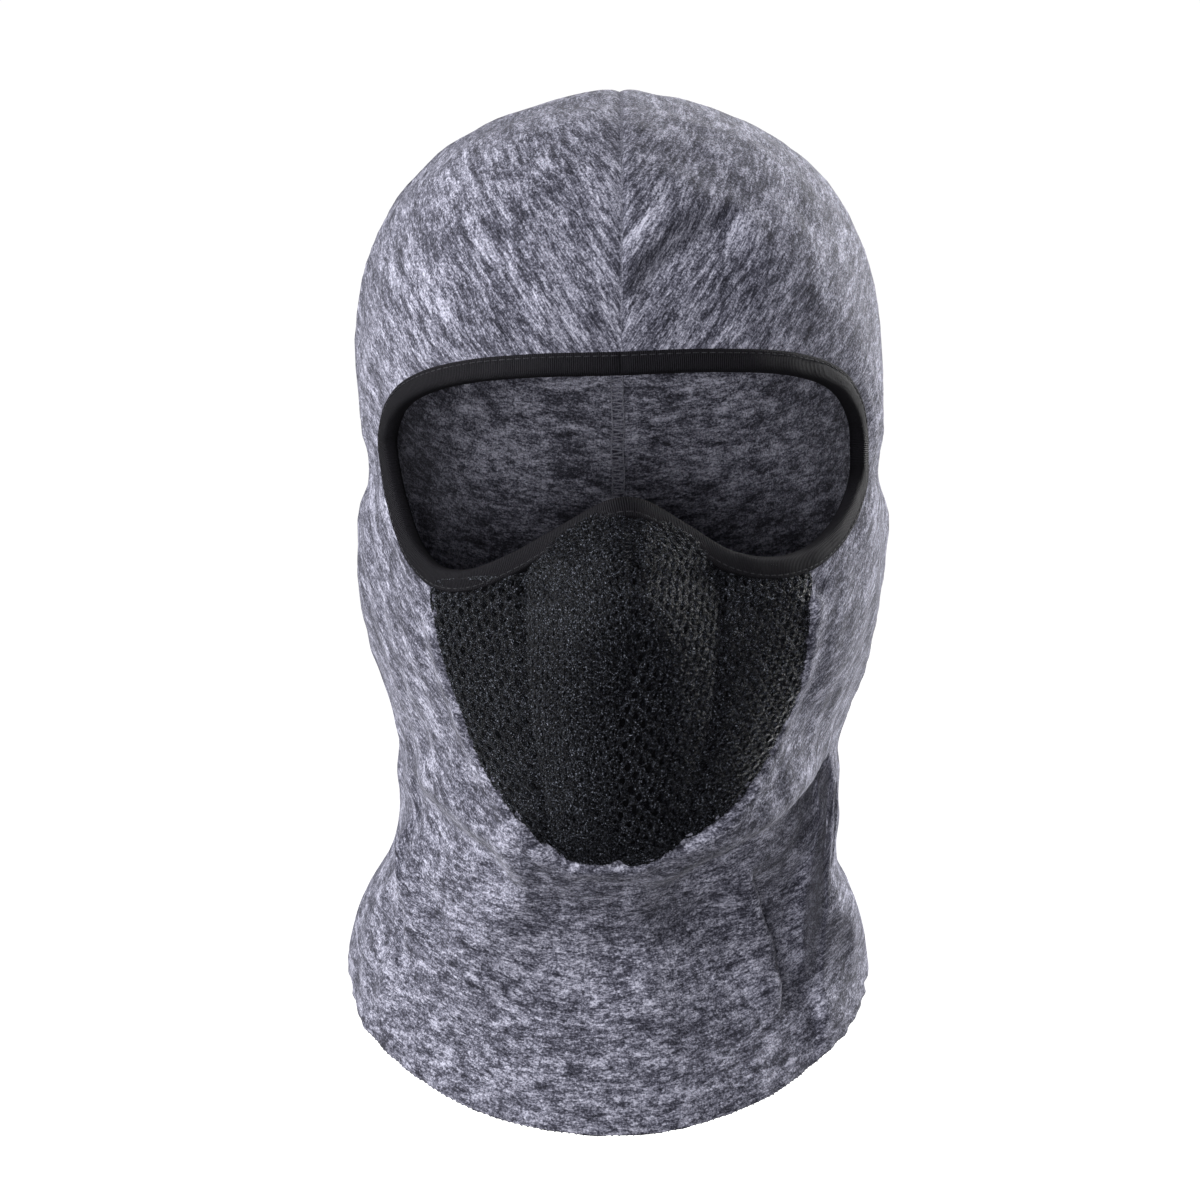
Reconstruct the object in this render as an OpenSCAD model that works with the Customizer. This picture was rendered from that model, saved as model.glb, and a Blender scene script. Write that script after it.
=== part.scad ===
// Full-face winter balaclava: a fleece hood with one crown-to-nape seam, an elastic
// binding round the eye opening and a breathable mask sewn from four mesh gores.
// Frame: X to the side, -Y to the front of the face, +Z up, origin in the middle of
// the head cavity, level with the bridge of the nose.

/* [Head and neck] */
// Largest half width of the hood, at the temples
head_half_w = 82; // [78:1:90]
// Reach of the forehead in front of the origin
brow_reach = 94; // [88:1:100]
// Reach of the back of the head behind the origin
back_reach = 104; // [98:1:112]
// Height of the crown above the origin
crown_z = 132.5; // [128:0.5:142]
// Half width of the hem, on the shoulders
hem_half_w = 82; // [76:0.5:88]

/* [Hem] */
// Height of the hem at the sides
hem_side_z = -135; // [-140:1:-126]
// How much lower the bib hangs in front than at the sides
bib_drop = 46; // [30:1:56]
// How much the hem rises towards the nape
nape_rise = 14; // [6:1:18]

/* [Fabric] */
// Thickness of the brushed fleece
fleece_t = 2.4; // [2:0.1:3]
// Thickness of the air mesh
mesh_t = 2.2; // [1.6:0.1:2.4]
// How far the tip of the nose lifts the mask
nose_lift = 24; // [14:1:28]

/* [Eye binding] */
// Visible width of the folded strip
bind_w = 6.8; // [5:0.2:8]
// Thickness of one ply of the strip
bind_ply = 0.8; // [0.6:0.1:1.2]
// Air between the strip and the cloth it holds
bind_gap = 0.3; // [0.25:0.05:0.5]

/* [Seams] */
// Width of an overlocked seam on the inside
seam_w = 4; // [3:0.5:6]
// Thickness of an overlocked seam
seam_t = 0.9; // [0.6:0.1:1.4]
// Gap left between neighbouring panels
panel_gap = 0.4; // [0.3:0.1:0.8]

/* [Resolution] */
// Segments round the hood
around = 48; // [40:4:56]
// Rings from the hem to the brow
rings_low = 25; // [18:1:26]
// Rings from the brow to the crown
rings_dome = 9; // [8:1:10]

/* [Hidden] */

fleece_colour = [0.50, 0.50, 0.56];
fleece_thread_colour = [0.62, 0.62, 0.67];
black_colour = [0.08, 0.08, 0.085];
mesh_colour = [0.12, 0.12, 0.13];

// Level where the dome of the crown starts
dome_z = 55;
// Roundness of the dome: 2 is an ellipse
dome_power = 2.35;
// Step for numeric tangents
step = 0.4;
// Depth of the radial cutters, past the tip of the nose
ray_depth = 150;
// Ratio of a cutter's outer size to its inner one
ray_taper = 50;
// How far the cloth stops short of the fold inside the binding
tuck = 1.3;
// How many degrees the segments are drawn together towards the face
crowd = 30;
// Step between rings for numeric normals
ring_step = 0.01;
// Last ring whose normal is worked out: above it the cloth is level
pole_ring = 1.97;
// Ring at which the crown seam passes over the top
seam_top_ring = 1.96;
// Half size of a sheet that is wider than the mask
far = 400;
// How far the mesh lies below the fleece around it
mesh_inset = 0.1;
// Rounding of the folded strip, outside and inside
bind_round = 0.6;
bind_round_in = 0.9;
// Air between the cloth and the stitches on its inside
seam_gap = 0.3;
// Top and bottom of the seams between the gores
centre_seam_span = [-4, -98];
side_seam_span = [-21, -93];
// Top of the seam round the mask
edge_seam_top = -26;
// Topstitch: distance from the strip's edge, width, height of its foot and of its top
stitch_inset = 1.2;
stitch_w = 0.6;
stitch_foot = 0.05;
stitch_top = 0.4;
// Hem stitches: distance below the cloth, depth and rounding
hem_gap = 0.1;
hem_wrap = 0.9;
hem_round = 0.3;

// Each station is height, half width, front reach and back reach
stations = [
    [-190, hem_half_w, 89, 71],
    [-165, hem_half_w, 80, 71],
    [-145, hem_half_w, 73, 71],
    [-132, 81, 71, 71],
    [-118, 77.4, 75, 70],
    [-105, 70.9, 86, 68],
    [-95, 68.6, 92, 67],
    [-78, 68.4, 94, 68],
    [-68, 68.2, 94, 71],
    [-58, 70.8, 94, 76],
    [-48, 74.4, 94, 80],
    [-38, 78, 94, 85],
    [-24, 81.4, 93, 92],
    [-6, 82.5, 92, 99],
    [5, 82.2, 92, 102],
    [14, 81.7, 92, 104],
    [25, 81.4, 93, 105],
    [40, 81.7, 94, 105],
    [dome_z, head_half_w, brow_reach, back_reach]
];

// Each station is height, lift of the mask along the nose ridge and half width of
// the ridge
ridge = [
    [-112, 0, 30],
    [-100, 3, 30],
    [-85, 8, 31],
    [-62, 13, 31],
    [-46, 18, 27],
    [-30, nose_lift, 23],
    [-14, 21, 18],
    [0, 14, 15],
    [12, 5, 14],
    [24, 0, 14]
];

// Outer edge of the eye binding, as seen from the front, clockwise from the brow
eye_edge = [
    [0, 47], [27, 48.2], [51, 48], [66, 44], [73.5, 34], [75, 20],
    [74, 7], [68, -6], [58, -15.5], [45, -19], [31, -16.5], [18, -8.5],
    [8, -2.5], [1, -1], [-7, -3.5], [-18, -10], [-31, -17.5], [-44, -22.5],
    [-55, -21.5], [-63, -14], [-68, -2], [-71.5, 12], [-72.5, 26],
    [-68.5, 37], [-60, 42.5], [-45, 45.5], [-25, 46.6]
];

// Sewn edge of the mask, from the right end of the binding under the chin to the left
mask_edge = [
    [54.5, -2], [55, -17], [55.5, -30], [53, -48], [46.5, -63.5], [39, -76],
    [30.5, -87], [19, -96], [9, -100.7], [0, -102], [-11, -101], [-20, -98],
    [-27, -91.5], [-36.5, -78], [-44, -63.5], [-52, -41], [-55, -23], [-54.5, -8]
];
// Height inside the eye opening up to which the mask's outline runs
mask_top = 14;

// Seams between the gores, from the binding down to the chin
seam_left = [[-29, 6], [-28.5, -22], [-28, -42], [-27, -58], [-23.5, -79], [-19.5, -104]];
seam_centre = [[2, 14], [4, -12], [4.5, -33], [3, -48], [0, -56], [-0.5, -70], [-1, -106]];
seam_right = [[30, 6], [30, -18], [29, -44], [27.5, -59], [23, -77], [17, -104]];

// Index of the station below a height
function below(table, z, i = 0) =
    i >= len(table) - 2 || z <= table[i + 1][0] ? i : below(table, z, i + 1);

// Slope of one column at a station
function slope(table, i, col) =
    let (a = max(i - 1, 0), b = min(i + 1, len(table) - 1))
    (table[b][col] - table[a][col]) / (table[b][0] - table[a][0]);

// Smooth curve through one column of a table of stations
function along(table, z, col) =
    let (
        zc = min(max(z, table[0][0]), table[len(table) - 1][0]),
        i = below(table, zc),
        h = table[i + 1][0] - table[i][0],
        u = (zc - table[i][0]) / h,
        p = table[i][col], q = table[i + 1][col],
        mp = slope(table, i, col) * h, mq = slope(table, i + 1, col) * h
    )
    p * (2 * u ^ 3 - 3 * u ^ 2 + 1) + mp * (u ^ 3 - 2 * u ^ 2 + u)
    + q * (3 * u ^ 2 - 2 * u ^ 3) + mq * (u ^ 3 - u ^ 2);

// Half width, front reach or back reach of the hood at a height: col 1, 2 or 3
function reach(z, col) =
    z <= dome_z ? along(stations, z, col)
    : let (s = min((z - dome_z) / (crown_z - dome_z), 1))
      stations[len(stations) - 1][col] * sqrt(max(1 - s ^ dome_power, 0));

// Lift of the mask over the nose
function lift(x, z) =
    along(ridge, z, 1) * exp(-(x / along(ridge, z, 2)) ^ 2);

// Point on the outer surface, at an angle from the front and a height
function skin(angle, z) =
    let (x = reach(z, 1) * sin(angle), c = cos(angle))
    [x, c > 0 ? -reach(z, 2) * c - lift(x, z) * c : -reach(z, 3) * c, z];

// Height of the hem at an angle from the front
function hem_z(angle) =
    let (c = cos(angle))
    c > 0 ? hem_side_z - bib_drop * c
    : hem_side_z - bib_drop * c * (1 + c * (1 - nape_rise / bib_drop));

// Height of a ring at an angle: 0 is the hem, 1 the brow, 2 the crown
function ring_z(angle, v) =
    v <= 1 ? hem_z(angle) + (dome_z - hem_z(angle)) * v
    : dome_z + (crown_z - dome_z) * sin(90 * (v - 1));

// Angle of a segment, closer together at the face
function turn(i) = i * 360 / around - crowd * sin(i * 360 / around);

function unit(v) = v / norm(v);

// Outward normal of the surface at an angle and a ring
function normal(angle, v) =
    let (
        w = min(v, pole_ring),
        da = skin(angle + 1, ring_z(angle + 1, w)) - skin(angle - 1, ring_z(angle - 1, w)),
        lo = max(w - ring_step, 0),
        dv = skin(angle, ring_z(angle, w + ring_step)) - skin(angle, ring_z(angle, lo))
    )
    v > pole_ring + ring_step ? [0, 0, 1] : unit(cross(da, dv));

// Point a depth below the outer surface
function under(angle, v, depth) =
    skin(angle, ring_z(angle, v)) - depth * normal(angle, v);

// Closed shell of cloth between two depths below the outer surface
module cloth(top, bottom) {
    rows = rings_low + rings_dome;
    vs = concat(
        [for (i = [0:rings_low]) i / rings_low],
        [for (i = [1:rings_dome - 1]) 1 + i / rings_dome]
    );
    grid = [for (d = [top, bottom], v = vs, i = [0:around - 1]) under(turn(i), v, d)];
    sheet = rows * around;
    poles = 2 * sheet;
    points = concat(grid, [[0, 0, crown_z - top], [0, 0, crown_z - bottom]]);
    walls = [
        for (s = [0, 1], r = [0:rows - 2], i = [0:around - 1])
        let (
            j = (i + 1) % around,
            a = s * sheet + r * around + i, b = s * sheet + r * around + j,
            c = b + around, d = a + around
        )
        each s == 0 ? [[a, d, c], [a, c, b]] : [[a, c, d], [a, b, c]]
    ];
    caps = [
        for (s = [0, 1], i = [0:around - 1])
        let (
            j = (i + 1) % around,
            a = s * sheet + (rows - 1) * around + i,
            b = s * sheet + (rows - 1) * around + j
        )
        s == 0 ? [a, poles, b] : [a, b, poles + 1]
    ];
    hem = [
        for (i = [0:around - 1])
        let (j = (i + 1) % around)
        each [[i, j, sheet + j], [i, sheet + j, sheet + i]]
    ];
    polyhedron(points, concat(walls, caps, hem), convexity = 6);
}

// Depth of the front surface behind the plane through the origin, at x and z
function front_y(x, z) =
    let (s = min(abs(x) / reach(z, 1), 0.999), c = sqrt(1 - s ^ 2))
    -reach(z, 2) * c - lift(x, z) * c;

function front(p) = [p[0], front_y(p[0], p[1]), p[1]];

// Outward normal of the front surface
function front_normal(p) =
    unit(cross(
        front(p + [step, 0]) - front(p - [step, 0]),
        front(p + [0, step]) - front(p - [0, step])
    ));

// Point on a smooth curve through four neighbours
function bend(a, b, c, d, u) =
    0.5 * (2 * b + (c - a) * u + (2 * a - 5 * b + 4 * c - d) * u ^ 2
    + (3 * b - a - 3 * c + d) * u ^ 3);

// Smooth closed loop through points
function loop(pts, n) =
    let (m = len(pts))
    [for (i = [0:m - 1], k = [0:n - 1])
        bend(pts[(i + m - 1) % m], pts[i], pts[(i + 1) % m], pts[(i + 2) % m], k / n)];

// Smooth open line through points
function line(pts, n) =
    let (m = len(pts))
    concat(
        [for (i = [0:m - 2], k = [0:n - 1])
            bend(pts[max(i - 1, 0)], pts[i], pts[i + 1], pts[min(i + 2, m - 1)], k / n)],
        [pts[m - 1]]
    );

// Place on the front, with the directions across it and out of the surface
function frame(prev, here, next) =
    let (n = front_normal(here), t = unit(front(next) - front(prev)))
    [front(here), unit(cross(t, n)), n];

function loop_frames(pts) =
    let (m = len(pts))
    [for (i = [0:m - 1]) frame(pts[(i + m - 1) % m], pts[i], pts[(i + 1) % m])];

function line_frames(pts) =
    let (m = len(pts))
    [for (i = [0:m - 1]) frame(pts[max(i - 1, 0)], pts[i], pts[min(i + 1, m - 1)])];

// A section swept along frames. A section point is across and out of the surface.
module sweep(frames, section, closed) {
    m = len(frames);
    k = len(section);
    points = [for (f = frames, s = section) f[0] + s[0] * f[1] + s[1] * f[2]];
    last = closed ? m - 1 : m - 2;
    sides = [
        for (i = [0:last], j = [0:k - 1])
        let (
            a = i * k + j, b = i * k + (j + 1) % k,
            c = ((i + 1) % m) * k + (j + 1) % k, d = ((i + 1) % m) * k + j
        )
        each [[a, b, c], [a, c, d]]
    ];
    ends = closed ? [] : [
        [for (j = [k - 1:-1:0]) j],
        [for (j = [0:k - 1]) (m - 1) * k + j]
    ];
    polyhedron(points, concat(sides, ends), convexity = 8);
}

function bar(width, low, high) =
    [[-width / 2, low], [-width / 2, high], [width / 2, high], [width / 2, low]];

// The same place as seen along rays from the upright axis of the head
function ray(p) = [-ray_depth * p[0] / front_y(p[0], p[1]), p[1]];

// Solid that cuts the front along rays through a flat outline
module rays() {
    rotate([90, 0, 0])
    linear_extrude(height = ray_depth, scale = [ray_taper, 1], slices = 2)
    scale([1 / ray_taper, 1])
    children();
}

eye_loop = loop(eye_edge, 3);
eye_frames = loop_frames(eye_loop);

// Edge of the cloth inside the folded binding
cloth_edge = [
    for (f = eye_frames)
    let (q = f[0] + (bind_w - bind_ply - tuck) * f[1])
    [-ray_depth * q[0] / q[1], q[2]]
];

module eye_outline() {
    polygon(cloth_edge);
}

module mask_outline() {
    sewn = line(mask_edge, 3);
    top = [[sewn[len(sewn) - 1][0], mask_top], [sewn[0][0], mask_top]];
    polygon([for (p = concat(sewn, top)) ray(p)]);
}

// Part of the mask between two seams, or between a seam and one side
module gore(left_seam, right_seam) {
    left_side = left_seam == undef ? [[-far, far], [-far, -far]]
        : [for (p = line(left_seam, 3)) ray(p)];
    right_line = right_seam == undef ? [[far, far], [far, -far]]
        : [for (p = line(right_seam, 3)) ray(p)];
    right_side = [for (i = [len(right_line) - 1:-1:0]) right_line[i]];
    resize([0, 0, 0])
    intersection() {
        cloth(mesh_inset, mesh_inset + mesh_t);
        rays()
        offset(delta = -panel_gap / 2 * ray_depth / brow_reach)
        difference() {
            intersection() {
                mask_outline();
                polygon(concat(left_side, right_side));
            }
            eye_outline();
        }
    }
}

module fleece_hood() {
    color(fleece_colour)
    resize([0, 0, 0])
    difference() {
        cloth(0, fleece_t);
        rays() eye_outline();
        rays() mask_outline();
    }
}

// A strip folded round the edge of the cloth, open towards the cloth
module eye_binding() {
    out = bind_gap;
    in = -fleece_t - bind_gap;
    fold = bind_w - bind_ply;
    section = [
        [0, out], [0, out + bind_ply], [fold - bind_round, out + bind_ply],
        [bind_w, out - bind_round], [bind_w, in + bind_round],
        [fold - bind_round, in - bind_ply], [0, in - bind_ply], [0, in],
        [fold - bind_round_in, in], [fold, in + bind_round_in],
        [fold, out - bind_round_in], [fold - bind_round_in, out]
    ];
    color(black_colour)
    sweep(eye_frames, section, true);
}

module mask_side_left() {
    color(mesh_colour) gore(undef, seam_left);
}

module mask_centre_left() {
    color(mesh_colour * 1.2) gore(seam_left, seam_centre);
}

module mask_centre_right() {
    color(mesh_colour * 0.9) gore(seam_centre, seam_right);
}

module mask_side_right() {
    color(mesh_colour) gore(seam_right, undef);
}

// Section of the overlock stitches on the inside of the cloth
inside_stitches = bar(seam_w, -fleece_t - seam_gap - seam_t, -fleece_t - seam_gap);

// Points of a seam line between two heights
function between(pts, span) =
    [for (p = line(pts, 3)) if (p[1] < span[0] && p[1] > span[1]) p];

// Band of overlock stitches along an inside seam of the face
module inside_band(pts) {
    sweep(line_frames(pts), inside_stitches, false);
}

// Stitches that join the two edges of the hood, from the brow over the crown to the hem
module crown_seam_overlock() {
    route = concat(
        [for (i = [0:9]) [0, 1 + i / 10]],
        [[0, seam_top_ring], [180, seam_top_ring]],
        [for (i = [9:-1:0]) [180, 1 + i / 10]],
        [for (i = [19:-1:1]) [180, i / 20]]
    );
    frames = [
        for (r = route)
        [skin(r[0], ring_z(r[0], r[1])), [1, 0, 0], normal(r[0], r[1])]
    ];
    color(fleece_thread_colour)
    sweep(frames, inside_stitches, false);
}

module mask_centre_seam_overlock() {
    color(black_colour) inside_band(between(seam_centre, centre_seam_span));
}

module mask_left_seam_overlock() {
    color(black_colour) inside_band(between(seam_left, side_seam_span));
}

module mask_right_seam_overlock() {
    color(black_colour) inside_band(between(seam_right, side_seam_span));
}

module mask_edge_overlock() {
    color(fleece_thread_colour)
    inside_band(between(mask_edge, [edge_seam_top, -far]));
}

// Raised line of stitches near the outer edge of the binding
module binding_topstitch() {
    face = bind_gap + bind_ply;
    color(black_colour)
    sweep(
        [for (f = eye_frames) [f[0] + stitch_inset * f[1], f[1], f[2]]],
        bar(stitch_w, face + stitch_foot, face + stitch_top),
        true
    );
}

// Narrow stitches wrapped round the cut edge of the hem
module hem_overlock() {
    frames = [
        for (i = [0:around - 1])
        let (
            angle = turn(i),
            p = skin(angle, ring_z(angle, 0)),
            up = unit(skin(angle, ring_z(angle, ring_step)) - p)
        )
        [p, -up, normal(angle, 0)]
    ];
    section = [
        [hem_gap, -fleece_t], [hem_gap, 0],
        [hem_wrap, -hem_round], [hem_wrap, -fleece_t + hem_round]
    ];
    color(fleece_thread_colour)
    sweep(frames, section, true);
}

fleece_hood();
eye_binding();
mask_side_left();
mask_centre_left();
mask_centre_right();
mask_side_right();
crown_seam_overlock();
mask_centre_seam_overlock();
mask_left_seam_overlock();
mask_right_seam_overlock();
mask_edge_overlock();
binding_topstitch();
hem_overlock();
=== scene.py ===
import math

import bpy
import numpy as np
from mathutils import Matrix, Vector


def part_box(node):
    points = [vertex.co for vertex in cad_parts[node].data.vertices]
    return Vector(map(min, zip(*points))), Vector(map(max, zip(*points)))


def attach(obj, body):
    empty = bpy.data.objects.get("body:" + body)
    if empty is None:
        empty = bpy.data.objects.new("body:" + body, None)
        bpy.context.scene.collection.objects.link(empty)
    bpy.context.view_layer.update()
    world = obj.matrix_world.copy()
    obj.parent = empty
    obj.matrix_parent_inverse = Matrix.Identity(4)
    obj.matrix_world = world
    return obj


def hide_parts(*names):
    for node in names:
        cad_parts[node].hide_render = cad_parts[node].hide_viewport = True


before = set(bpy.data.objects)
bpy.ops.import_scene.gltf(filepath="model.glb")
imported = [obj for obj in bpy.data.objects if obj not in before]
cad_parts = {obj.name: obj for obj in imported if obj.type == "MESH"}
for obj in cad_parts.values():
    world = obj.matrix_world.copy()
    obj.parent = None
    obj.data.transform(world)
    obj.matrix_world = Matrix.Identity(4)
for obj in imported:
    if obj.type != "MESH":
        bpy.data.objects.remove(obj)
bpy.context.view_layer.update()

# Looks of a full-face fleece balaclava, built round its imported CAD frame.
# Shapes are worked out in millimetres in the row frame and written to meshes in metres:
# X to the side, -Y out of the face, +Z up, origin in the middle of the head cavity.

MM = 0.001

# ------------ driving sizes, mm
CROWN_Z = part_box("fleece_hood")[1][2] / MM
DOME_Z = 55.0
DOME_POWER = 2.35
FLEECE_T = 2.4
HEM_SIDE_Z = -135.0
BIB_DROP = 46.0
NAPE_RISE = 14.0

# Height, half width, front reach and back reach of the hood
STATIONS = np.array([
    [-190, 82, 89, 71], [-165, 82, 80, 71], [-145, 82, 73, 71],
    [-132, 81, 71, 71], [-118, 77.4, 75, 70], [-105, 70.9, 86, 68],
    [-95, 68.6, 92, 67], [-78, 68.4, 94, 68], [-68, 68.2, 94, 71],
    [-58, 70.8, 94, 76], [-48, 74.4, 94, 80], [-38, 78, 94, 85],
    [-24, 81.4, 93, 92], [-6, 82.5, 92, 99], [5, 82.2, 92, 102],
    [14, 81.7, 92, 104], [25, 81.4, 93, 105], [40, 81.7, 94, 105],
    [55, 82, 94, 104],
], float)

# Height, lift of the mask along the nose ridge and half width of the ridge
RIDGE = np.array([
    [-112, 0, 30], [-100, 3, 30], [-85, 8, 31], [-62, 13, 31], [-46, 18, 27],
    [-30, 24, 23], [-14, 21, 18], [0, 14, 15], [12, 5, 14], [24, 0, 14],
], float)

# Outer edge of the eye binding, clockwise from the brow, as X and Z
EYE_EDGE = [
    (0, 47), (27, 48.2), (51, 48), (66, 44), (73.5, 34), (75, 20),
    (74, 7), (68, -6), (58, -15.5), (45, -19), (31, -16.5), (18, -8.5),
    (8, -2.5), (1, -1), (-7, -3.5), (-18, -10), (-31, -17.5), (-44, -22.5),
    (-55, -21.5), (-63, -14), (-68, -2), (-71.5, 12), (-72.5, 26),
    (-68.5, 37), (-60, 42.5), (-45, 45.5), (-25, 46.6),
]

# Sewn edge of the mask, from its end on +X at the binding, under the chin, to the one on -X
MASK_EDGE = [
    (55, -17), (55.5, -30), (53, -48), (46.5, -63.5), (39, -76), (30.5, -87),
    (19, -96), (9, -100.7), (0, -102), (-11, -101), (-20, -98), (-27, -91.5),
    (-36.5, -78), (-44, -63.5), (-52, -41), (-55, -23),
]

# Seams between the gores, from the binding down to the chin
SEAM_LEFT = [(-29, 6), (-28.5, -22), (-28, -42), (-27, -58), (-23.5, -79), (-19.5, -104)]
SEAM_CENTRE = [(2, 14), (4, -12), (4.5, -33), (3, -48), (0, -56), (-0.5, -70), (-1, -106)]
SEAM_RIGHT = [(30, 6), (30, -18), (29, -44), (27.5, -59), (23, -77), (17, -104)]


# ------------ curves and surface
def unit(v):
    return v / np.maximum(np.linalg.norm(v, axis=-1, keepdims=True), 1e-12)


def bell(v, width):
    """1 where v is 0, falling away on both sides over a width."""
    return np.exp(-((v / width) ** 2))


def smoothstep(low, high, value):
    """0 up to low and 1 from high on, with a smooth step between them."""
    s = np.clip((value - low) / (high - low), 0, 1)
    return s * s * (3 - 2 * s)


def stacked(*parts):
    """Arrays side by side: the coordinates of points, or the corners of quads."""
    return np.stack(parts, -1)


def along(table, z, col):
    """Smooth curve through one column of a table of stations."""
    heights = table[:, 0]
    z = np.clip(z, heights[0], heights[-1])
    i = np.clip(np.searchsorted(heights, z) - 1, 0, len(heights) - 2)
    values = table[:, col]
    slope = np.empty(len(heights))
    slope[1:-1] = (values[2:] - values[:-2]) / (heights[2:] - heights[:-2])
    slope[0] = (values[1] - values[0]) / (heights[1] - heights[0])
    slope[-1] = (values[-1] - values[-2]) / (heights[-1] - heights[-2])
    h = heights[i + 1] - heights[i]
    u = (z - heights[i]) / h
    ends = values[i] * (2 * u**3 - 3 * u**2 + 1) + values[i + 1] * (3 * u**2 - 2 * u**3)
    return ends + h * (slope[i] * (u**3 - 2 * u**2 + u) + slope[i + 1] * (u**3 - u**2))


def reach(z, col):
    """Half width, front reach or back reach at a height: col 1, 2 or 3."""
    z = np.asarray(z, float)
    s = np.clip((z - DOME_Z) / (CROWN_Z - DOME_Z), 0, 1)
    dome = STATIONS[-1, col] * np.sqrt(np.maximum(1 - s**DOME_POWER, 0))
    return np.where(z <= DOME_Z, along(STATIONS, z, col), dome)


def lift(x, z):
    return along(RIDGE, z, 1) * bell(x, along(RIDGE, z, 2))


def skin(angle, z):
    """Points of the outer surface at angles from the front and heights."""
    c = np.cos(angle)
    x = reach(z, 1) * np.sin(angle)
    y = np.where(c > 0, -(reach(z, 2) + lift(x, z)) * c, -reach(z, 3) * c)
    return stacked(x, y, z + 0 * x)


def hem_z(angle):
    c = np.cos(angle)
    behind = HEM_SIDE_Z - BIB_DROP * c * (1 + c * (1 - NAPE_RISE / BIB_DROP))
    return np.where(c > 0, HEM_SIDE_Z - BIB_DROP * c, behind)


def front(xz):
    """Points of the front surface at X and Z."""
    x, z = xz[..., 0], xz[..., 1]
    s = np.minimum(np.abs(x) / reach(z, 1), 0.999)
    y = -(reach(z, 2) + lift(x, z)) * np.sqrt(1 - s**2)
    return stacked(x, y, z)


def front_normal(xz, step=0.4):
    dx, dz = np.array([step, 0]), np.array([0, step])
    return unit(np.cross(front(xz + dx) - front(xz - dx), front(xz + dz) - front(xz - dz)))


def spline(points, per_span, closed=False):
    """Smooth curve through points, with per_span steps between neighbours."""
    p = np.array(points, float)
    m = len(p)
    u = np.arange(per_span)[:, None] / per_span
    out = []
    for i in range(m if closed else m - 1):
        if closed:
            a, b, c, d = (p[(i + k) % m] for k in (-1, 0, 1, 2))
        else:
            a, b, c, d = (p[min(max(i + k, 0), m - 1)] for k in (-1, 0, 1, 2))
        out.append(0.5 * (2 * b + (c - a) * u + (2 * a - 5 * b + 4 * c - d) * u**2
                          + (3 * b - a - 3 * c + d) * u**3))
    if not closed:
        out.append(p[-1:])
    return np.concatenate(out)


def looped(line):
    """A line with its first point again at its end."""
    return np.concatenate([line, line[:1]])


def lengths(line):
    return np.concatenate([[0], np.cumsum(np.linalg.norm(np.diff(line, axis=0), axis=1))])


def sampled(s, run, *tables):
    """Each table's columns at lengths s, where run gives the length at each of its rows."""
    return [np.stack([np.interp(s, run, w[:, k]) for k in range(w.shape[1])], -1) for w in tables]


def resample(line, n, closed=False):
    """n points evenly spaced along a line of 2D or 3D points."""
    line = looped(line) if closed else line
    at = lengths(line)
    return sampled(np.linspace(0, at[-1], n, endpoint=not closed), at, line)[0]


def even_on_front(xz, n, closed=False):
    """X and Z of n points evenly spaced along a line drawn on the front surface."""
    xz = looped(xz) if closed else xz
    at = lengths(front(xz))
    return sampled(np.linspace(0, at[-1], n, endpoint=not closed), at, xz)[0], at[-1]


def directions(line, closed=False):
    """Unit directions of a line at its points."""
    if closed:
        return unit(np.roll(line, -1, 0) - np.roll(line, 1, 0))
    return unit(np.gradient(line, axis=0))


def offset_line(line, by):
    """A flat line moved sideways, to the left of its own direction."""
    t = directions(line)
    return line + by * stacked(-t[:, 1], t[:, 0])


def frames_on_front(xz, closed=False):
    """Places, directions across and directions out along a line on the front."""
    p, n = front(xz), front_normal(xz)
    return p, unit(np.cross(directions(p, closed), n)), n


EYE_LOOP, EYE_ROUND = even_on_front(spline(EYE_EDGE, 12, True), 900, True)


# ------------ mesh building
def make_piece(name, verts, faces, material, attributes=None):
    """A mesh object from points in millimetres and quads."""
    mesh = bpy.data.meshes.new(name)
    mesh.vertices.add(len(verts))
    mesh.vertices.foreach_set("co", (verts * MM).ravel())
    mesh.loops.add(faces.size)
    mesh.loops.foreach_set("vertex_index", faces.ravel().astype(np.int32))
    mesh.polygons.add(len(faces))
    mesh.polygons.foreach_set("loop_start", np.arange(0, faces.size, 4, dtype=np.int32))
    mesh.polygons.foreach_set("use_smooth", np.full(len(faces), True))
    mesh.update(calc_edges=True)
    mesh.validate()
    for key, values in (attributes or {}).items():
        layer = mesh.attributes.new(key, "FLOAT", "POINT")
        layer.data.foreach_set("value", np.asarray(values, np.float32))
    ob = bpy.data.objects.new(name, mesh)
    bpy.context.scene.collection.objects.link(ob)
    for m in material if isinstance(material, list) else [material]:
        mesh.materials.append(m)
    return ob


def grid_faces(rows, cols, wrap=False, start=0):
    """Quads of a grid of rows by cols points, joined round if wrap."""
    r, c = np.meshgrid(np.arange(rows - 1), np.arange(cols if wrap else cols - 1), indexing="ij")
    a = r * cols + c
    b = r * cols + (c + 1) % cols
    return stacked(a, b, b + cols, a + cols).reshape(-1, 4) + start


def tube(line, radius, sides=6, closed=False):
    """Points and faces of a thin tube along a line, with pinched ends."""
    t = directions(line, closed)
    side = unit(np.cross(t, np.where(np.abs(t[:, 2:]) < 0.8, [[0, 0, 1.0]], [[1.0, 0, 0]])))
    up = np.cross(t, side)
    a = np.arange(sides) * 2 * math.pi / sides
    r = np.full(len(line), radius)
    if not closed:
        r[0] = r[-1] = radius * 0.3
    ring = np.cos(a)[None, :, None] * side[:, None] + np.sin(a)[None, :, None] * up[:, None]
    verts = line[:, None] + ring * r[:, None, None]
    return verts.reshape(-1, 3), grid_faces_ring(len(line), sides, closed)


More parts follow.
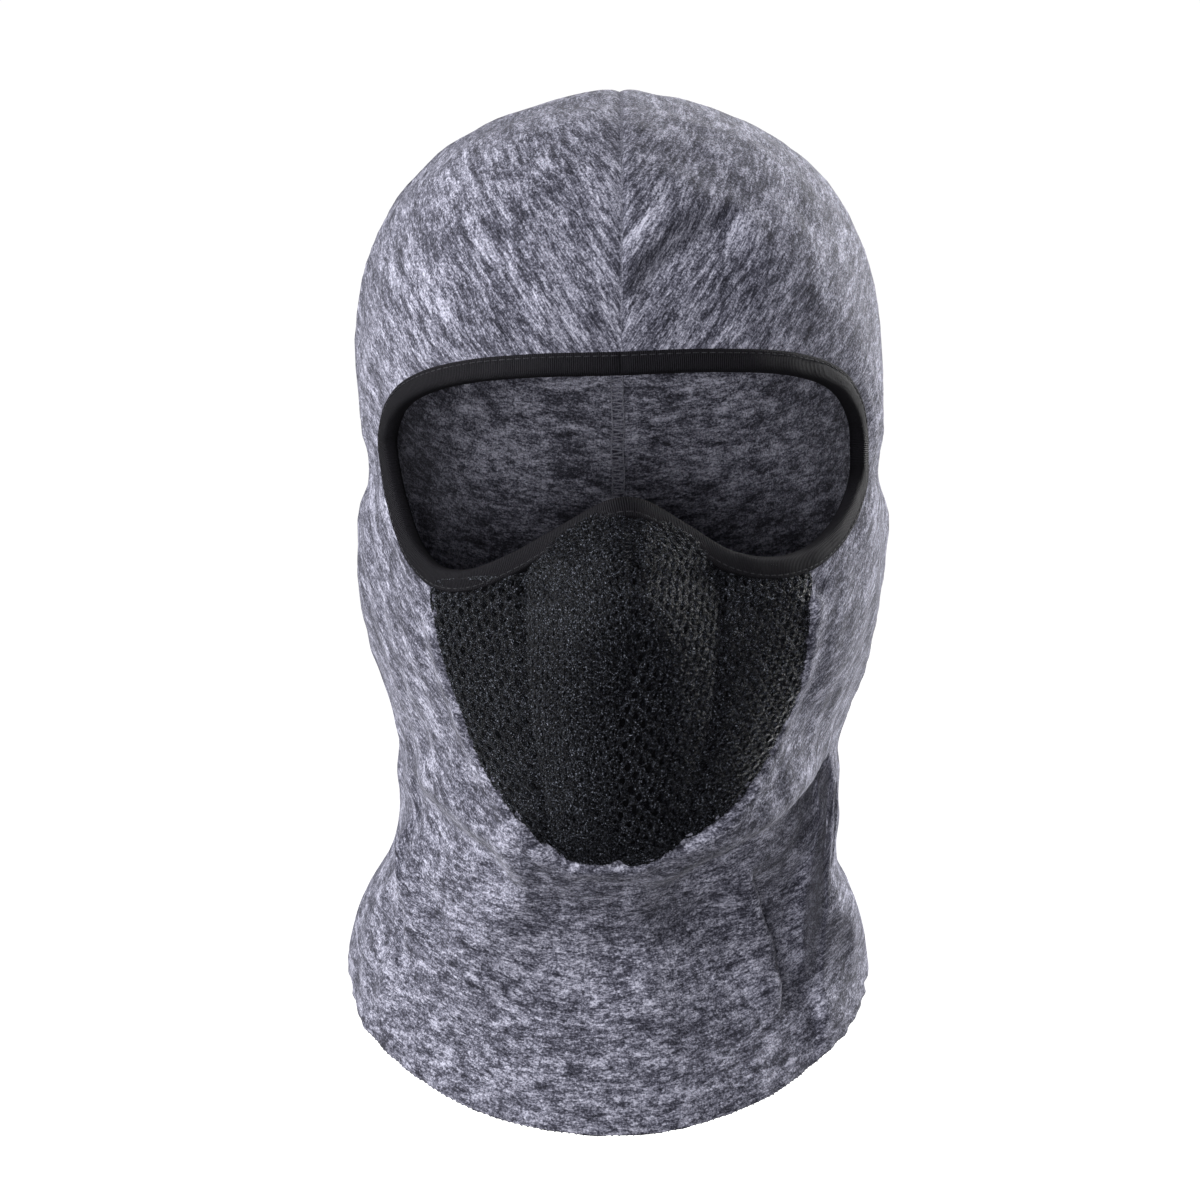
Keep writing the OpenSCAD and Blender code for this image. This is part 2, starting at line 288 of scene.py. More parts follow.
def grid_faces_ring(m, k, closed):
    """Quads of m rings of k points each, joined end to end if closed."""
    r, c = np.meshgrid(np.arange(m if closed else m - 1), np.arange(k), indexing="ij")
    a, b = r * k + c, r * k + (c + 1) % k
    na, nb = ((r + 1) % m) * k + c, ((r + 1) % m) * k + (c + 1) % k
    return stacked(a, na, nb, b).reshape(-1, 4)


def joined(parts):
    """One set of points and quads from several."""
    verts, faces, base = [], [], 0
    for v, f in parts:
        verts.append(v)
        faces.append(f + base)
        base += len(v)
    return np.concatenate(verts), np.concatenate(faces)


# ------------ materials
def new_material(name):
    """An empty node material, its tree and its shader."""
    mat = bpy.data.materials.new(name)
    mat.use_nodes = True
    tree = mat.node_tree
    return mat, tree, tree.nodes["Principled BSDF"]


def feed(tree, node, values):
    """Gives a node's first inputs numbers or links."""
    for socket, value in zip(node.inputs, values):
        if isinstance(value, (int, float)):
            socket.default_value = value
        else:
            tree.links.new(value, socket)
    return node.outputs[0]


def math_node(tree, operation, *values):
    node = tree.nodes.new("ShaderNodeMath")
    node.operation = operation
    return feed(tree, node, values)


def noise_node(tree, vector, scale, detail=3.0, roughness=0.55, distortion=0.0):
    node = tree.nodes.new("ShaderNodeTexNoise")
    node.inputs["Scale"].default_value = scale
    node.inputs["Detail"].default_value = detail
    node.inputs["Roughness"].default_value = roughness
    node.inputs["Distortion"].default_value = distortion
    tree.links.new(vector, node.inputs["Vector"])
    return node.outputs["Fac"]


def ramp_node(tree, value, stops):
    node = tree.nodes.new("ShaderNodeValToRGB")
    ramp = node.color_ramp
    while len(ramp.elements) < len(stops):
        ramp.elements.new(0.5)
    for element, (at, colour) in zip(ramp.elements, stops):
        element.position = at
        element.color = (*colour, 1)
    tree.links.new(value, node.inputs["Fac"])
    return node.outputs["Color"]


def bump_node(tree, height, strength, distance, under=None):
    node = tree.nodes.new("ShaderNodeBump")
    node.inputs["Strength"].default_value = strength
    node.inputs["Distance"].default_value = distance
    tree.links.new(height, node.inputs["Height"])
    if under is not None:
        tree.links.new(under, node.inputs["Normal"])
    return node.outputs["Normal"]


def object_xyz(tree):
    """X, Y and Z of the surface point, in millimetres."""
    coord = tree.nodes.new("ShaderNodeTexCoord")
    split = tree.nodes.new("ShaderNodeSeparateXYZ")
    tree.links.new(coord.outputs["Object"], split.inputs[0])
    return [math_node(tree, "MULTIPLY", out, 1 / MM) for out in split.outputs]


def attribute(tree, name):
    node = tree.nodes.new("ShaderNodeAttribute")
    node.attribute_name = name
    return node.outputs["Fac"]


def vector_node(tree, x, y, z):
    return feed(tree, tree.nodes.new("ShaderNodeCombineXYZ"), (x, y, z))


def object_point(tree):
    return vector_node(tree, *object_xyz(tree))


def finish_shader(tree, shader, colour, normal, roughness, specular):
    tree.links.new(colour, shader.inputs["Base Color"])
    tree.links.new(normal, shader.inputs["Normal"])
    shader.inputs["Roughness"].default_value = roughness
    shader.inputs["Specular IOR Level"].default_value = specular


def linear(r, g, b):
    """Linear colour of an 8-bit sRGB colour."""
    return tuple((c / 255 / 12.92) if c / 255 <= 0.04045 else ((c / 255 + 0.055) / 1.055) ** 2.4
                 for c in (r, g, b))


def fleece_material(name, tones):
    """Brushed heather fleece: dark streaks on pale grey that follow the knit's grain."""
    mat, tree, shader = new_material(name)
    x, y, z = object_xyz(tree)
    point = vector_node(tree, x, y, z)
    grain = attribute(tree, "grain")
    side = math_node(tree, "MULTIPLY", attribute(tree, "turn"), 3.0)

    def stretched(long, wide):
        return vector_node(tree, math_node(tree, "ADD", math_node(tree, "DIVIDE", x, long), side),
                           math_node(tree, "DIVIDE", y, long), math_node(tree, "DIVIDE", grain, wide))

    blotch = noise_node(tree, stretched(13.0, 5.5), 1.0, 2.0, 0.5, 0.4)
    streak = noise_node(tree, stretched(5.4, 1.7), 1.0, 3.0, 0.62, 0.4)
    fibre = noise_node(tree, stretched(1.5, 0.5), 1.0, 2.0, 0.6, 0.6)
    grit = noise_node(tree, point, 1.5, 2.0, 0.75)
    parts = [(blotch, 0.30), (streak, 0.50), (fibre, 0.46), (grit, 0.50)]
    tone = math_node(tree, "MULTIPLY", *parts[0])
    for value, share in parts[1:]:
        tone = math_node(tree, "ADD", tone, math_node(tree, "MULTIPLY", value, share))
    tone = math_node(tree, "SUBTRACT", tone, 0.38)
    colour = ramp_node(tree, tone, list(zip((0.33, 0.45, 0.54, 0.70), tones)))
    pile = noise_node(tree, point, 1.1, 3.0, 0.7, 0.3)
    normal = bump_node(tree, pile, 0.55, 0.0007)
    normal = bump_node(tree, fibre, 0.5, 0.0004, normal)
    finish_shader(tree, shader, colour, normal, 0.92, 0.15)
    shader.inputs["Sheen Weight"].default_value = 0.14
    shader.inputs["Sheen Roughness"].default_value = 0.4
    shader.inputs["Sheen Tint"].default_value = (0.82, 0.82, 0.92, 1)
    return mat


RIB_PITCH = 0.62


def binding_material():
    """Black ribbed stretch knit, with the ribs running across the band."""
    mat, tree, shader = new_material("binding_knit")
    run = attribute(tree, "run")
    rib = math_node(tree, "SINE", math_node(tree, "MULTIPLY", run, 2 * math.pi / RIB_PITCH))
    fuzz = noise_node(tree, object_point(tree), 3.2, 3.0, 0.6)
    tone = math_node(tree, "MULTIPLY_ADD", rib, 0.16, fuzz)
    colour = ramp_node(tree, tone, [(0.25, linear(7, 7, 9)), (0.75, linear(28, 27, 32))])
    normal = bump_node(tree, rib, 0.8, 0.00022)
    normal = bump_node(tree, fuzz, 0.4, 0.00018, normal)
    finish_shader(tree, shader, colour, normal, 0.8, 0.07)
    return mat


def mesh_material():
    """Black air mesh of shiny filament, with painted glints: bright specks in its colour stand in for
    highlights on the knitted loops.
    """
    mat, tree, shader = new_material("air_mesh_filament")
    point = object_point(tree)
    loops = noise_node(tree, point, 2.2, 3.0, 0.7, 1.2)
    painted_glints = noise_node(tree, point, 2.5, 1.0, 0.6, 0.4)
    # Painted glints: the top stops of this ramp paint bright highlights into the filament's colour.
    colour = ramp_node(tree, painted_glints, [(0.44, linear(1, 1, 2)), (0.55, linear(14, 15, 18)),
                                      (0.65, linear(58, 61, 69)), (0.75, linear(160, 165, 180))])
    finish_shader(tree, shader, colour, bump_node(tree, loops, 0.8, 0.0005), 0.28, 0.09)
    return mat


def backing_material():
    """Inner face of the air mesh, deep black between its pillars."""
    mat, tree, shader = new_material("air_mesh_backing")
    weave = noise_node(tree, object_point(tree), 2.2, 2.0, 0.6)
    colour = ramp_node(tree, weave, [(0.3, linear(1, 1, 2)), (0.7, linear(6, 6, 8))])
    finish_shader(tree, shader, colour, bump_node(tree, weave, 0.6, 0.0003), 0.85, 0.05)
    return mat


def thread_material(name, dark, light, gloss):
    """Spun sewing thread with a fine twist."""
    mat, tree, shader = new_material(name)
    x, y, z = object_xyz(tree)
    lay = math_node(tree, "ADD", math_node(tree, "ADD", x, y), math_node(tree, "MULTIPLY", z, 1.4))
    twist = math_node(tree, "SINE", math_node(tree, "MULTIPLY", lay, 14.0))
    mottle = noise_node(tree, vector_node(tree, x, y, z), 2.0, 2.0, 0.5)
    colour = ramp_node(tree, mottle, [(0.3, dark), (0.7, light)])
    finish_shader(tree, shader, colour, bump_node(tree, twist, 0.4, 0.0001), 0.6, gloss)
    return mat


def floor_material():
    """Pale and faintly mottled, and bright enough by itself to look white."""
    mat, tree, shader = new_material("studio_floor")
    soft = noise_node(tree, object_point(tree), 0.004, 2.0, 0.5)
    tree.links.new(ramp_node(tree, soft, [(0, (0.88, 0.88, 0.88)), (1, (0.91, 0.91, 0.91))]),
                   shader.inputs["Base Color"])
    shader.inputs["Roughness"].default_value = 0.9
    shader.inputs["Emission Color"].default_value = (1, 1, 1, 1)
    shader.inputs["Emission Strength"].default_value = 0.95
    return mat


FLEECE = fleece_material("heather_fleece", [
    linear(26, 26, 34), linear(60, 60, 71), linear(104, 104, 117), linear(172, 172, 187)])
FLEECE_INSIDE = fleece_material("heather_fleece_inside", [
    linear(28, 28, 35), linear(62, 62, 72), linear(106, 106, 118), linear(172, 172, 187)])
BINDING = binding_material()
AIR_MESH = mesh_material()
BACKING = backing_material()
GREY_THREAD = thread_material("overlock_thread", linear(96, 96, 108), linear(146, 146, 158), 0.3)
BLACK_THREAD = thread_material("black_thread", linear(20, 20, 22), linear(58, 58, 63), 0.12)


# ------------ hood
RAY_ROOT = np.array([0.0, -18.0, -120.0])
RAY_AXIS = unit(np.array([0.0, -82.0, 75.0]))
RAY_DOWN = unit(np.array([0.0, -75.0, -82.0]))
RAY_SIDE = np.array([1.0, 0.0, 0.0])
COLUMNS = 420
ROWS = 156
CLOTH_INSET = 4.7
FLARE_SHIFT = 3.4
RAY_LONGEST = 290.0
HALVINGS = 36


def cast(turn, spread):
    """Outer surface points along rays at a turn about the axis and a spread from it."""
    flat = np.cos(turn)[..., None] * RAY_DOWN + np.sin(turn)[..., None] * RAY_SIDE
    ray = np.cos(spread)[..., None] * RAY_AXIS + np.sin(spread)[..., None] * flat
    low, high = np.zeros(ray.shape[:-1]), np.full(ray.shape[:-1], RAY_LONGEST)
    for _ in range(HALVINGS):
        mid = (low + high) / 2
        p = RAY_ROOT + mid[..., None] * ray
        x, y, z = p[..., 0], p[..., 1], p[..., 2]
        depth = np.where(y < 0, reach(z, 2) + lift(x, z), reach(z, 3))
        side = np.maximum(reach(z, 1), 1e-6)
        inside = (z < CROWN_Z) & ((x / side) ** 2 + (y / np.maximum(depth, 1e-6)) ** 2 < 1)
        low, high = np.where(inside, mid, low), np.where(inside, high, mid)
    return RAY_ROOT + ((low + high) / 2)[..., None] * ray


def polar(points):
    """Turn and spread of points as seen from the root of the rays."""
    v = unit(points - RAY_ROOT)
    return np.arctan2(v @ RAY_SIDE, v @ RAY_DOWN), np.arccos(np.clip(v @ RAY_AXIS, -1, 1))


def aperture_points():
    """The hood's cut edge: tucked inside the binding, and round the mask."""
    p, across, _ = frames_on_front(EYE_LOOP, True)
    # Round the mask the edge runs on into the eye opening, so that the two cuts meet
    cut = [(54.5, -2)] + MASK_EDGE + [(-54.5, -8)]
    return p + across * CLOTH_INSET, front(even_on_front(spline(cut, 12), 500)[0])


def spread_table(loops, turns):
    """For each turn, the spread at which the loops are met, the outermost one winning."""
    best = np.full(len(turns), -1.0)
    for loop in loops:
        turn, spread = polar(loop)
        turn = np.unwrap(turn)
        for shift in (-2 * math.pi, 0, 2 * math.pi):
            a, b = turn[:-1] + shift, turn[1:] + shift
            near = np.abs(b - a) < 1
            for t0, t1, s0, s1 in zip(a[near], b[near], spread[:-1][near], spread[1:][near]):
                lo, hi = min(t0, t1), max(t0, t1)
                i0, i1 = np.searchsorted(turns, lo), np.searchsorted(turns, hi, side="right")
                if i1 > i0:
                    u = (turns[i0:i1] - t0) / (t1 - t0 if t1 != t0 else 1)
                    best[i0:i1] = np.maximum(best[i0:i1], s0 + u * (s1 - s0))
    return best


# How much closer the columns are at the crown seam and at the front, and over what turn
SEAM_CROWD, SEAM_CROWD_W = 2.2, 0.07
FRONT_CROWD, FRONT_CROWD_W = 0.7, 1.5


def hood_turns():
    """Turns of the columns, closer together where there is more to show."""
    fine = np.linspace(-math.pi, math.pi, 4001)
    density = 1 + SEAM_CROWD * bell(math.pi - np.abs(fine), SEAM_CROWD_W)
    density += FRONT_CROWD * np.exp(-((fine / FRONT_CROWD_W) ** 4))
    total = np.concatenate([[0], np.cumsum((density[1:] + density[:-1]) / 2)])
    return np.interp(np.arange(COLUMNS) * total[-1] / COLUMNS, total, fine)


def near_line(xz, line):
    """Distance from points to a line in X and Z, positive on its left, how far along the
    nearest place is, and the direction across the line there."""
    p = np.asarray(line, float)
    best = np.full(xz.shape[:-1], 1e9)
    signed, at = np.zeros(best.shape), np.zeros(best.shape)
    across = np.zeros(xz.shape)
    run = lengths(p)
    for i in range(len(p) - 1):
        d = p[i + 1] - p[i]
        size = np.linalg.norm(d)
        left = np.array([-d[1], d[0]]) / size
        w = xz - p[i]
        u = np.clip((w @ d) / size**2, 0, 1)
        gap = np.linalg.norm(w - u[..., None] * d, axis=-1)
        closer = gap < best
        best = np.where(closer, gap, best)
        signed = np.where(closer, gap * np.where(w @ left < 0, -1, 1), signed)
        at = np.where(closer, (run[i] + u * size) / run[-1], at)
        across = np.where(closer[..., None], left, across)
    return signed, at, across


# Soft folds of the cloth above the binding: line in X and Z, height and half width
FOLDS = [
    ([(-36, 50), (-37, 63)], 1.4, 4), ([(-22, 51), (-23, 65)], 1.5, 4),
    ([(-9, 51), (-9, 64)], 1.3, 4), ([(11, 51), (12, 60)], 1.3, 4),
    ([(37, 51), (39, 64)], 1.3, 5), ([(-30, 50), (-29, 60)], -1.2, 3.5),
    ([(24, 50), (26, 60)], -1.0, 4),
]
# The same, on the neck below the jaw
NECK_FOLDS = [
    ([(56, -84), (56, -104), (57, -120), (58, -134)], -9, 7),
    ([(10, -114), (28, -108)], 1.6, 6), ([(-30, -118), (-44, -140)], 2.2, 9),
    ([(-52, -96), (-56, -112)], -3.0, 6), ([(0, -128), (26, -122)], -2.0, 8),
]

# Where one stretch of cloth hangs over the next: line in X and Z, 1 if the upper cloth is on
# its left or -1 if on its right, drop, how soon it recovers, roll, overhang and softness, in mm
JAW_RIGHT = ([(69, -58), (66.8, -64.3), (64.2, -71.1), (59.5, -77.3), (52.2, -83.6), (45.2, -89),
              (36.9, -94.4), (26.8, -100.5), (17.9, -106.7), (5.7, -109.8)], -1, 20, 44, 1.8, 3.0, 0.9)
JAW_LEFT = ([(-22, -112.7), (-33.3, -98.9), (-41.7, -94.6), (-50.2, -89.1), (-59, -81.3),
             (-66.5, -69.1)], -1, 12, 34, 1.4, 2.4, 0.9)
BROW_FOLD = ([(0, 60), (7.6, 72), (17, 81.5), (26.5, 86.5), (39.6, 91)], 1, 9, 12, 2.2, 0.6, 1.7)
PLEATS = [
    ([(42, -103), (44.2, -114), (45.5, -120.6), (48.4, -127.4), (49.8, -134.8), (51.7, -143.7),
      (52.6, -152)], -1, 8, 12, 2.4, 2.6, 0.7),
    ([(-66, -88), (-67.4, -96.5), (-64.4, -111.7), (-62.6, -123.5), (-62, -136)], 1,
     4, 14, 1.4, 1.2, 0.9),
]
LIP_ROLL_AT, LIP_ROLL_W = 4, 5
OVERHANG_W = 3.5
DEEPEST = 34.0
FOLDS_END = (67, 61)
SIDE_ROLL, SIDE_ROLL_X, SIDE_ROLL_W = 17.0, 67.5, 3.6
SIDE_LEAN = 1.4
CROWN_LEAN = 2.4
TEMPLE_NOTCH = 4.0


def hanging(xz, lip):
    """How far a lip moves the cloth out and sideways, and how much of it is upper cloth."""
    line, upper, drop, recover, roll, overhang, edge = lip
    gap, at, left = near_line(xz, resample(spline(line, 6), 70))
    s = gap * upper
    ends = smoothstep(0, 0.25, at) * smoothstep(1, 0.75, at)
    over = 1 / (1 + np.exp(np.clip(-s / edge, -40, 40)))
    out = roll * bell(s - LIP_ROLL_AT, LIP_ROLL_W) * ends
    out -= drop * (1 - over) * np.exp(np.minimum(s, 0) / recover) * ends
    slide = overhang * over * bell(np.maximum(s, 0), OVERHANG_W) * ends
    return out, -upper * left * slide[..., None], over


def ridges(xz, folds):
    """Height of a list of soft folds."""
    return sum(height * bell(near_line(xz, line)[0], width) for line, height, width in folds)


def fold_moves(p, n):
    """How far the folds move the outer surface, as X, Y and Z in mm."""
    xz = p[..., [0, 2]]
    x, y, z = p[..., 0], p[..., 1], p[..., 2]
    out = ridges(xz, FOLDS)
    neck = ridges(xz, NECK_FOLDS)
    slide = np.zeros(xz.shape)
    upper = []
    for lip in (JAW_RIGHT, JAW_LEFT, BROW_FOLD):
        more, aside, over = hanging(xz, lip)
        out += more
        slide += aside
        upper.append(over)
    below = 1 - np.where(x > JAW_LEFT[0][0][0], upper[0], upper[1])
    crease = np.zeros(xz.shape[:-1])
    for lip in PLEATS:
        more, aside, _ = hanging(xz, lip)
        crease += more
        slide += aside * below[..., None]
    crease *= below * smoothstep(20, -20, y)
    in_front = smoothstep(8, -48, y)
    out = (out + neck * below) * in_front * smoothstep(*FOLDS_END, np.abs(x))
    out = np.where(out < 0, DEEPEST * np.tanh(out / DEEPEST), out)
    # Loose cloth at the right of the neck stands forward of the hollow beside it
    stands = bell(np.maximum(SIDE_ROLL_X - x, 0), SIDE_ROLL_W) * smoothstep(2, -22, y)
    out += SIDE_ROLL * stands * smoothstep(-64, -82, z) * smoothstep(-142, -112, z)
    side = slide[..., 0] * in_front
    side += SIDE_LEAN * bell(z + 2, 45) * smoothstep(58, 76, np.abs(x))
    side -= CROWN_LEAN * smoothstep(70, 110, z) * smoothstep(0, 30, x)
    notch = bell(z - 15, 7) * bell(y - 5, 34)
    side -= TEMPLE_NOTCH * notch * np.sign(x)
    return stacked(side, -out, slide[..., 1] * in_front) + n * crease[..., None]


def streak_angle(p):
    """Angle of the knit's streaks above level, going back from the middle of the face."""
    x, y, z = np.abs(p[..., 0]), p[..., 1], p[..., 2]
    head = 46 + 14 * smoothstep(60, 5, x) * smoothstep(30, 60, z) - 54 * smoothstep(-5, 55, y)
    bib = 16 * smoothstep(2, 34, x) * smoothstep(60, -10, y)
    return np.radians(head + (bib - head) * smoothstep(-78, -118, z))


def streak_field(p, n, steps=700):
    """Scalar in mm whose level lines follow the streaks, fitted over the grid by least squares."""
    level = np.cross([0.0, 0.0, 1.0], n)
    weight = np.sum(level**2, -1) + 0.02
    level = unit(level) * np.where(p[..., :1] < 0, -1, 1)
    up = unit(np.cross(n, level)) * np.where(p[..., :1] < 0, -1, 1)
    turn = streak_angle(p)[..., None]
    slope = np.cos(turn) * up - np.sin(turn) * level
    near = np.roll(p, -1, 1) - p
    want_c = np.sum((slope + np.roll(slope, -1, 1)) / 2 * near, -1)
    want_r = np.sum((slope[1:] + slope[:-1]) / 2 * (p[1:] - p[:-1]), -1)
    w_c, w_r = (weight + np.roll(weight, -1, 1)) / 2, (weight[1:] + weight[:-1]) / 2

    def gathered(a, b):
        out = np.roll(a, 1, 1) - a
        out[:-1] -= b
        out[1:] += b
        return out

    def applied(t):
        return gathered(w_c * (np.roll(t, -1, 1) - t), w_r * (t[1:] - t[:-1]))

    t = p[..., 2].copy()
    left = gathered(w_c * want_c, w_r * want_r) - applied(t)
    go, size = left.copy(), np.sum(left**2)
    for _ in range(steps):
        push = applied(go)
        rate = size / np.sum(go * push)
        t += rate * go
        left -= rate * push
        size, old = np.sum(left**2), size
        go = left + size / old * go
    return t


# How far the hood's first rows are from the edge of the aperture, and its last from the hem
FIRST_ROWS = np.array([0, 0.5, 1.0, 1.6, 2.3, 3.2, 4.4, 6.0, 8.0])
LAST_ROWS = np.array([4.5, 3.0, 2.0, 1.2, 0.6, 0.0])
RAYS_PER_COLUMN = 260


def hood_grid():
    """Rows of points from the aperture to the hem, and distances to both edges."""
    turns = hood_turns()
    eye, mask = aperture_points()
    inner = spread_table([looped(eye), mask], turns)
    theta = np.linspace(-math.pi, math.pi, 1600)
    outer = spread_table([skin(theta, hem_z(theta))], turns)
    spreads = inner + np.linspace(0, 1, RAYS_PER_COLUMN)[:, None] * (outer - inner)
    line = cast(np.broadcast_to(turns, spreads.shape), spreads)
    at = np.concatenate([np.zeros((1, COLUMNS)),
                         np.cumsum(np.linalg.norm(np.diff(line, axis=0), axis=-1), axis=0)])
    middle = ROWS - len(FIRST_ROWS) - len(LAST_ROWS)
    v = (np.arange(middle) + 1)[:, None] / (middle + 1)
    from_edge = np.concatenate([
        FIRST_ROWS[:, None] + np.zeros(COLUMNS),
        FIRST_ROWS[-1] + v * (at[-1] - LAST_ROWS[0] - FIRST_ROWS[-1]),
        at[-1] - LAST_ROWS[:, None],
    ])
    rows = np.stack([np.interp(from_edge[:, j], at[:, j], spreads[:, j]) for j in range(COLUMNS)], 1)
    return cast(np.broadcast_to(turns, rows.shape), rows), from_edge, at[-1] - from_edge


def grid_normals(p):
    """Outward directions of a grid that is joined round."""
    across = np.roll(p, -1, 1) - np.roll(p, 1, 1)
    down = np.gradient(p, axis=0)
    n = unit(np.cross(across, down))
    middle = p.mean(axis=(0, 1))
    return n if ((p - middle) * n).sum() > 0 else -n


def smooth_noise(p, size, seed):
    """Cheap seeded noise at points, from sines of a few random directions."""
    rng = np.random.default_rng(seed)
    total = np.zeros(p.shape[:-1])
    for _ in range(9):
        k = rng.normal(size=3)
        k *= 2 * math.pi / (size * rng.uniform(0.7, 1.5) * np.linalg.norm(k))
        total += np.sin(p @ k + rng.uniform(0, 2 * math.pi))
    return total / 3


# Small forms of the cloth, in mm: a height or depth, and where it has one a place and a width
BEAD, BEAD_AT, BEAD_W = 1.5, 2.8, 3.6
BEAD_DIVE, BEAD_DIVE_W = 3.4, 0.75
BEAD_PUCKER, BEAD_PUCKER_W = 0.55, 5
BINDING_NIP = 0.55
SEAM_SHOULDER, SHOULDER_AT, SHOULDER_W = 0.12, 4.6, 2.6
SEAM_GROOVE, GROOVE_W = 0.6, 1.1
SEAM_PUCKER, SEAM_PUCKER_W = 0.2, 5
SLACK = 0.8
RUMPLE = 0.28
HEM_NICK, HEM_NICK_W = 0.35, 2.0
HEM_DIVE, HEM_DIVE_W = 0.9, 0.5
RIM_BULGE, RIM_W = 0.7, 0.6
# Distances from the eye edge within which the binding grips the cloth and lets go of it
GRIP_END = (7.5, 5.0)
GRIP_FADE = (15, 6)


def crown_relief(p):
    """Height of the seam over the crown: a narrow groove between two soft shoulders."""
    x = np.abs(p[..., 0])
    shoulders = SEAM_SHOULDER * bell(x - SHOULDER_AT, SHOULDER_W)
    groove = SEAM_GROOVE * bell(x, GROOVE_W)
    puckers = SEAM_PUCKER * np.sin(p[..., 2] / 2.1 + p[..., 1] / 2.4)
    return shoulders - groove + puckers * bell(x, SEAM_PUCKER_W)


def edge_relief(p, from_edge):
    """Height of the fleece turned over at the mask: a puckered roll, then it dives in."""
    bead = BEAD * bell(from_edge - BEAD_AT, BEAD_W)
    dive = BEAD_DIVE * np.exp(-from_edge / BEAD_DIVE_W)
    puckers = BEAD_PUCKER * smooth_noise(p, 9.0, 5) * bell(from_edge, BEAD_PUCKER_W)
    return bead - dive + puckers


def outer_cloth():
    """Points and normals of the hood's outer skin, points before its folds, and thicknesses."""
    p, from_edge, from_hem = hood_grid()
    n = grid_normals(p)
    # Cloth stays flat where the binding grips it, and is free round the mask
    eye = front(EYE_LOOP)
    reach_eye = np.array([np.min(np.linalg.norm(eye - q, axis=1)) for q in p[0]])
    gripped = smoothstep(*GRIP_END, reach_eye)[None, :]
    free = 1 - gripped * smoothstep(*GRIP_FADE, from_edge)
    h = (1 - gripped) * edge_relief(p, from_edge)
    h -= gripped * BINDING_NIP * smoothstep(9, 6.5, from_edge)
    on_seam = smoothstep(20, 45, p[..., 2] + 200 * (p[..., 1] > 0))
    h += on_seam * (1 - gripped * smoothstep(7, 5, from_edge)) * crown_relief(p)
    # Loose cloth is never quite even, and the overlock gathers the hem
    h += free * (SLACK * smooth_noise(p, 46.0, 11) + RUMPLE * smooth_noise(p, 12.0, 3))
    h += HEM_NICK * bell(from_hem, HEM_NICK_W) * smooth_noise(p, 5.0, 21)
    h -= HEM_DIVE * np.exp(-from_hem / HEM_DIVE_W)
    outer = p + n * h[..., None] + fold_moves(p, n) * free[..., None]
    outer[..., 0] -= FLARE_SHIFT * smoothstep(-88, -108, p[..., 2])
    thick = FLEECE_T * (1 - 0.35 * np.exp(-from_hem / RIM_W))
    thick *= 1 - 0.3 * (1 - gripped) * np.exp(-from_edge / RIM_W)
    return outer, grid_normals(outer), p, thick


def build_hood():
    """The cloth as one closed sheet; its inner skin has half the rows."""
    outer, n, p, thick = outer_cloth()
    inner = outer - n * thick[..., None]
    keep = np.concatenate([np.arange(0, ROWS - 1, 2), [ROWS - 1]])
    rims = [(outer[row] + inner[row]) / 2 + unit(outer[row] - outer[next_row]) * RIM_BULGE
            for row, next_row in ((0, 2), (-1, -3))]
    verts = np.concatenate([outer.reshape(-1, 3), inner[keep].reshape(-1, 3), *rims])

    def everywhere(values):
        """A grid's values at every point of the sheet."""
        return np.concatenate([values.ravel(), values[keep].ravel(), values[0], values[-1]])

    base_in = ROWS * COLUMNS
    base_a = base_in + len(keep) * COLUMNS
    base_b = base_a + COLUMNS
    out_last, in_last = base_in - COLUMNS, base_a - COLUMNS
    j, k = np.arange(COLUMNS), (np.arange(COLUMNS) + 1) % COLUMNS

    def strip(a, b):
        """Quads between the ring of points that starts at a and the one that starts at b."""
        return stacked(a + j, b + j, b + k, a + k)

    faces = [
        grid_faces(ROWS, COLUMNS, True), grid_faces(len(keep), COLUMNS, True, base_in)[:, ::-1],
        strip(0, base_a)[:, ::-1], strip(base_a, base_in)[:, ::-1],
        strip(out_last, base_b), strip(base_b, in_last),
    ]
    turn = np.broadcast_to(hood_turns(), (ROWS, COLUMNS))
    grain = streak_field(p, grid_normals(p))
    piece = make_piece("fleece_hood_cloth", verts, np.concatenate(faces), [FLEECE, FLEECE_INSIDE],
                       {"grain": everywhere(grain), "turn": everywhere(turn)})
    side = np.repeat([0, 1, 0], [len(faces[0]), len(faces[1]), sum(map(len, faces[2:]))])
    piece.data.polygons.foreach_set("material_index", side.astype(np.int32))
    return piece, outer, inner, n


def place(piece, node=None):
    """Fixes a piece to the part, as the looks of a node if one is named."""
    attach(piece, "root")
    if node:
        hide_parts(node)


HOOD, HOOD_OUT, HOOD_IN, HOOD_NORMAL = build_hood()
place(HOOD, "fleece_hood")


# ------------ eye binding
BIND_T = 0.8

# Section of the folded band, outer skin first: across from the outer edge, and out of the hood
BAND_OUTER = [
    (0.30, -3.35), (0.05, -2.6), (0.0, -1.6), (-0.05, -0.5), (0.0, 0.25), (0.35, 0.72), (0.8, 0.82),
    (1.2, 0.70), (1.6, 0.82), (2.3, 1.00), (3.4, 1.08), (4.6, 1.10), (5.6, 0.98), (6.3, 0.55),
    (6.7, -0.25), (6.85, -1.2), (6.7, -2.2), (6.3, -3.0), (5.6, -3.6), (4.6, -3.85), (3.2, -3.9),
    (1.9, -3.85), (1.0, -3.7),
]


def band_section():
    """Outer skin and, offset by the cloth's thickness, inner skin as one closed outline."""
    line = np.array(BAND_OUTER)
    return np.concatenate([line, offset_line(line, -BIND_T)[::-1]])


# Depth and half width of the dip where the band's ends are joined
JOIN_DIP, JOIN_W = 0.9, 1.3


